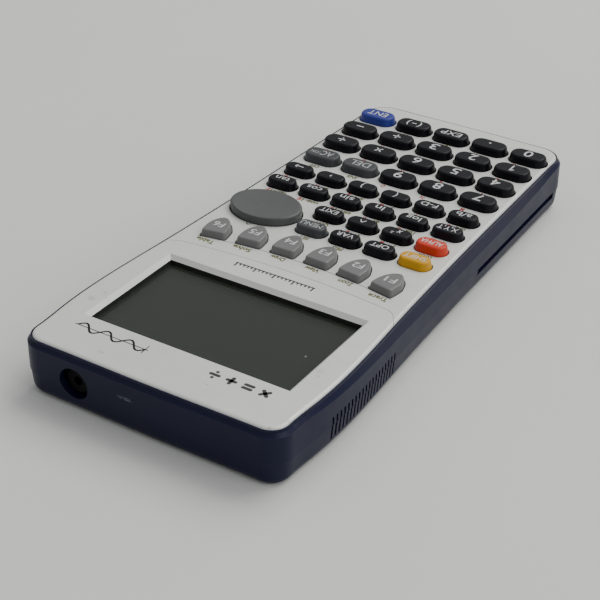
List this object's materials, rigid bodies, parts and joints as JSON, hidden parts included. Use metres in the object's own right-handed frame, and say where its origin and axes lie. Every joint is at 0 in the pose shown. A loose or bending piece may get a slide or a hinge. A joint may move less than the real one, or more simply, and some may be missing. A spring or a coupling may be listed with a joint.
{
  "type": "graphing calculator",
  "caption": "Handheld graphing calculator with a navy case, silver face, bevelled display, shield-shaped soft keys, rounded keys and an oval rocking cursor pad.",
  "frame": {"origin": "middle of the underside, the calculator lying on its back", "axes": "+Z out of the keys, +Y towards the display end when read upright, +X to the reader's right"},
  "size_m": [0.083, 0.1756, 0.0197],
  "materials": {
    "case_navy": "fine satin moulding",
    "panel_silver": "satin silver-white paint on plastic",
    "window": "clear plastic, light scratches",
    "display": "display switched off",
    "rubber_sheet": "silicone",
    "board": "solder mask",
    "jack_black": "moulded",
    "cells": "printed sleeve",
    "screws": "zinc plated",
    "pad_grey": "satin",
    "pivot": "natural acetal",
    "key_black": "satin",
    "key_dark_grey": "satin",
    "key_grey": "satin",
    "key_amber": "satin",
    "key_red": "satin",
    "key_blue": "satin"
  },
  "bodies": {
    "case": {"front_case": "case_navy", "rear_case": "case_navy", "display_bezel": "panel_silver", "keypad_panel": "panel_silver", "display_window": "window", "lcd_module": "display", "key_membrane": "rubber_sheet", "circuit_board": "board", "link_jack": "jack_black", "battery_cells": "cells", "case_screws": "screws"},
    "cover": {"battery_cover": "case_navy"},
    "pad_gimbal": {"pad_pivot": "pivot"},
    "pad": {"cursor_pad": "pad_grey"},
    "press_7": {"key_7": "key_black"},
    "press_8": {"key_8": "key_black"},
    "press_9": {"key_9": "key_black"},
    "press_del": {"key_del": "key_dark_grey"},
    "press_ac_on": {"key_ac_on": "key_dark_grey"},
    "press_4": {"key_4": "key_black"},
    "press_5": {"key_5": "key_black"},
    "press_6": {"key_6": "key_black"},
    "press_multiply": {"key_multiply": "key_black"},
    "press_divide": {"key_divide": "key_black"},
    "press_1": {"key_1": "key_black"},
    "press_2": {"key_2": "key_black"},
    "press_3": {"key_3": "key_black"},
    "press_plus": {"key_plus": "key_black"},
    "press_minus": {"key_minus": "key_black"},
    "press_0": {"key_0": "key_black"},
    "press_point": {"key_point": "key_black"},
    "press_exp": {"key_exp": "key_black"},
    "press_negative": {"key_negative": "key_black"},
    "press_exe": {"key_exe": "key_blue"},
    "press_fraction": {"key_fraction": "key_black"},
    "press_f_d": {"key_f_d": "key_black"},
    "press_bracket_open": {"key_bracket_open": "key_black"},
    "press_bracket_close": {"key_bracket_close": "key_black"},
    "press_comma": {"key_comma": "key_black"},
    "press_arrow": {"key_arrow": "key_black"},
    "press_variable": {"key_variable": "key_black"},
    "press_log": {"key_log": "key_black"},
    "press_ln": {"key_ln": "key_black"},
    "press_sin": {"key_sin": "key_black"},
    "press_cos": {"key_cos": "key_black"},
    "press_tan": {"key_tan": "key_black"},
    "press_alpha": {"key_alpha": "key_red"},
    "press_square": {"key_square": "key_black"},
    "press_power": {"key_power": "key_black"},
    "press_exit": {"key_exit": "key_black"},
    "press_shift": {"key_shift": "key_amber"},
    "press_optn": {"key_optn": "key_black"},
    "press_vars": {"key_vars": "key_black"},
    "press_menu": {"key_menu": "key_dark_grey"},
    "press_f1": {"key_f1": "key_grey"},
    "press_f2": {"key_f2": "key_grey"},
    "press_f3": {"key_f3": "key_grey"},
    "press_f4": {"key_f4": "key_grey"},
    "press_f5": {"key_f5": "key_grey"},
    "press_f6": {"key_f6": "key_grey"}
  },
  "joints": [
    {"name": "press_7_slide", "type": "slide", "parent": "case", "child": "press_7", "axis": [0, 0, -1], "range_m": [0, 0.0009], "stiffness_N_per_m": 500},
    {"name": "press_8_slide", "type": "slide", "parent": "case", "child": "press_8", "axis": [0, 0, -1], "range_m": [0, 0.0009], "stiffness_N_per_m": 500},
    {"name": "press_9_slide", "type": "slide", "parent": "case", "child": "press_9", "axis": [0, 0, -1], "range_m": [0, 0.0009], "stiffness_N_per_m": 500},
    {"name": "press_del_slide", "type": "slide", "parent": "case", "child": "press_del", "axis": [0, 0, -1], "range_m": [0, 0.0009], "stiffness_N_per_m": 500},
    {"name": "press_ac_on_slide", "type": "slide", "parent": "case", "child": "press_ac_on", "axis": [0, 0, -1], "range_m": [0, 0.0009], "stiffness_N_per_m": 500},
    {"name": "press_4_slide", "type": "slide", "parent": "case", "child": "press_4", "axis": [0, 0, -1], "range_m": [0, 0.0009], "stiffness_N_per_m": 500},
    {"name": "press_5_slide", "type": "slide", "parent": "case", "child": "press_5", "axis": [0, 0, -1], "range_m": [0, 0.0009], "stiffness_N_per_m": 500},
    {"name": "press_6_slide", "type": "slide", "parent": "case", "child": "press_6", "axis": [0, 0, -1], "range_m": [0, 0.0009], "stiffness_N_per_m": 500},
    {"name": "press_multiply_slide", "type": "slide", "parent": "case", "child": "press_multiply", "axis": [0, 0, -1], "range_m": [0, 0.0009], "stiffness_N_per_m": 500},
    {"name": "press_divide_slide", "type": "slide", "parent": "case", "child": "press_divide", "axis": [0, 0, -1], "range_m": [0, 0.0009], "stiffness_N_per_m": 500},
    {"name": "press_1_slide", "type": "slide", "parent": "case", "child": "press_1", "axis": [0, 0, -1], "range_m": [0, 0.0009], "stiffness_N_per_m": 500},
    {"name": "press_2_slide", "type": "slide", "parent": "case", "child": "press_2", "axis": [0, 0, -1], "range_m": [0, 0.0009], "stiffness_N_per_m": 500},
    {"name": "press_3_slide", "type": "slide", "parent": "case", "child": "press_3", "axis": [0, 0, -1], "range_m": [0, 0.0009], "stiffness_N_per_m": 500},
    {"name": "press_plus_slide", "type": "slide", "parent": "case", "child": "press_plus", "axis": [0, 0, -1], "range_m": [0, 0.0009], "stiffness_N_per_m": 500},
    {"name": "press_minus_slide", "type": "slide", "parent": "case", "child": "press_minus", "axis": [0, 0, -1], "range_m": [0, 0.0009], "stiffness_N_per_m": 500},
    {"name": "press_0_slide", "type": "slide", "parent": "case", "child": "press_0", "axis": [0, 0, -1], "range_m": [0, 0.0009], "stiffness_N_per_m": 500},
    {"name": "press_point_slide", "type": "slide", "parent": "case", "child": "press_point", "axis": [0, 0, -1], "range_m": [0, 0.0009], "stiffness_N_per_m": 500},
    {"name": "press_exp_slide", "type": "slide", "parent": "case", "child": "press_exp", "axis": [0, 0, -1], "range_m": [0, 0.0009], "stiffness_N_per_m": 500},
    {"name": "press_negative_slide", "type": "slide", "parent": "case", "child": "press_negative", "axis": [0, 0, -1], "range_m": [0, 0.0009], "stiffness_N_per_m": 500},
    {"name": "press_exe_slide", "type": "slide", "parent": "case", "child": "press_exe", "axis": [0, 0, -1], "range_m": [0, 0.0009], "stiffness_N_per_m": 500},
    {"name": "press_fraction_slide", "type": "slide", "parent": "case", "child": "press_fraction", "axis": [0, 0, -1], "range_m": [0, 0.0009], "stiffness_N_per_m": 500},
    {"name": "press_f_d_slide", "type": "slide", "parent": "case", "child": "press_f_d", "axis": [0, 0, -1], "range_m": [0, 0.0009], "stiffness_N_per_m": 500},
    {"name": "press_bracket_open_slide", "type": "slide", "parent": "case", "child": "press_bracket_open", "axis": [0, 0, -1], "range_m": [0, 0.0009], "stiffness_N_per_m": 500},
    {"name": "press_bracket_close_slide", "type": "slide", "parent": "case", "child": "press_bracket_close", "axis": [0, 0, -1], "range_m": [0, 0.0009], "stiffness_N_per_m": 500},
    {"name": "press_comma_slide", "type": "slide", "parent": "case", "child": "press_comma", "axis": [0, 0, -1], "range_m": [0, 0.0009], "stiffness_N_per_m": 500},
    {"name": "press_arrow_slide", "type": "slide", "parent": "case", "child": "press_arrow", "axis": [0, 0, -1], "range_m": [0, 0.0009], "stiffness_N_per_m": 500},
    {"name": "press_variable_slide", "type": "slide", "parent": "case", "child": "press_variable", "axis": [0, 0, -1], "range_m": [0, 0.0009], "stiffness_N_per_m": 500},
    {"name": "press_log_slide", "type": "slide", "parent": "case", "child": "press_log", "axis": [0, 0, -1], "range_m": [0, 0.0009], "stiffness_N_per_m": 500},
    {"name": "press_ln_slide", "type": "slide", "parent": "case", "child": "press_ln", "axis": [0, 0, -1], "range_m": [0, 0.0009], "stiffness_N_per_m": 500},
    {"name": "press_sin_slide", "type": "slide", "parent": "case", "child": "press_sin", "axis": [0, 0, -1], "range_m": [0, 0.0009], "stiffness_N_per_m": 500},
    {"name": "press_cos_slide", "type": "slide", "parent": "case", "child": "press_cos", "axis": [0, 0, -1], "range_m": [0, 0.0009], "stiffness_N_per_m": 500},
    {"name": "press_tan_slide", "type": "slide", "parent": "case", "child": "press_tan", "axis": [0, 0, -1], "range_m": [0, 0.0009], "stiffness_N_per_m": 500},
    {"name": "press_alpha_slide", "type": "slide", "parent": "case", "child": "press_alpha", "axis": [0, 0, -1], "range_m": [0, 0.0009], "stiffness_N_per_m": 500},
    {"name": "press_square_slide", "type": "slide", "parent": "case", "child": "press_square", "axis": [0, 0, -1], "range_m": [0, 0.0009], "stiffness_N_per_m": 500},
    {"name": "press_power_slide", "type": "slide", "parent": "case", "child": "press_power", "axis": [0, 0, -1], "range_m": [0, 0.0009], "stiffness_N_per_m": 500},
    {"name": "press_exit_slide", "type": "slide", "parent": "case", "child": "press_exit", "axis": [0, 0, -1], "range_m": [0, 0.0009], "stiffness_N_per_m": 500},
    {"name": "press_shift_slide", "type": "slide", "parent": "case", "child": "press_shift", "axis": [0, 0, -1], "range_m": [0, 0.0009], "stiffness_N_per_m": 500},
    {"name": "press_optn_slide", "type": "slide", "parent": "case", "child": "press_optn", "axis": [0, 0, -1], "range_m": [0, 0.0009], "stiffness_N_per_m": 500},
    {"name": "press_vars_slide", "type": "slide", "parent": "case", "child": "press_vars", "axis": [0, 0, -1], "range_m": [0, 0.0009], "stiffness_N_per_m": 500},
    {"name": "press_menu_slide", "type": "slide", "parent": "case", "child": "press_menu", "axis": [0, 0, -1], "range_m": [0, 0.0009], "stiffness_N_per_m": 500},
    {"name": "press_f1_slide", "type": "slide", "parent": "case", "child": "press_f1", "axis": [0, 0, -1], "range_m": [0, 0.0009], "stiffness_N_per_m": 500},
    {"name": "press_f2_slide", "type": "slide", "parent": "case", "child": "press_f2", "axis": [0, 0, -1], "range_m": [0, 0.0009], "stiffness_N_per_m": 500},
    {"name": "press_f3_slide", "type": "slide", "parent": "case", "child": "press_f3", "axis": [0, 0, -1], "range_m": [0, 0.0009], "stiffness_N_per_m": 500},
    {"name": "press_f4_slide", "type": "slide", "parent": "case", "child": "press_f4", "axis": [0, 0, -1], "range_m": [0, 0.0009], "stiffness_N_per_m": 500},
    {"name": "press_f5_slide", "type": "slide", "parent": "case", "child": "press_f5", "axis": [0, 0, -1], "range_m": [0, 0.0009], "stiffness_N_per_m": 500},
    {"name": "press_f6_slide", "type": "slide", "parent": "case", "child": "press_f6", "axis": [0, 0, -1], "range_m": [0, 0.0009], "stiffness_N_per_m": 500},
    {"name": "pad_rock_up_down", "type": "hinge", "parent": "case", "child": "pad_gimbal", "pos_m": [0.0236, -0.0031, 0.0129], "axis": [1, 0, 0], "range_deg": [-2.5, 2.5], "stiffness_Nm_per_rad": 0.3},
    {"name": "pad_rock_left_right", "type": "hinge", "parent": "pad_gimbal", "child": "pad", "pos_m": [0.0236, -0.0031, 0.0129], "axis": [0, 1, 0], "range_deg": [-2.5, 2.5], "stiffness_Nm_per_rad": 0.3},
    {"name": "battery_cover_off", "type": "slide", "parent": "case", "child": "cover", "axis": [0, 0, -1], "range_m": [0, 0.03]}
  ]
}
